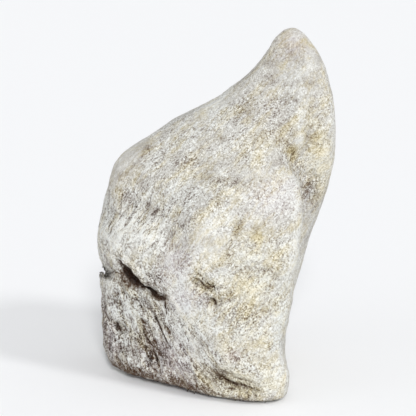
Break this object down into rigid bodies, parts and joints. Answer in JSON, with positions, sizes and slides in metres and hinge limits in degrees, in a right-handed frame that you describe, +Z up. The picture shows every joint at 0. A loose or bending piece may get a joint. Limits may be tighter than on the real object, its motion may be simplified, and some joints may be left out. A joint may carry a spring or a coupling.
{
  "type": "raw lepidolite chunk",
  "caption": "Rough standing chunk of fine-grained mica rock with a leaning peak, a cleft lower block and a flat broken foot, to stand on a shelf or table.",
  "frame": {"origin": "middle of the bounding box, on the flat foot that the chunk stands on", "axes": "+Z up from the foot to the peak, -Y towards the front face, +X to the right of someone facing the front"},
  "size_m": [0.068, 0.0556, 0.0962],
  "materials": {
    "mica_rock": "rough broken mica rock, pale grey and cream with lilac tints and fine glittering flakes"
  },
  "bodies": {
    "root": {"chunk": "mica_rock"}
  },
  "joints": []
}
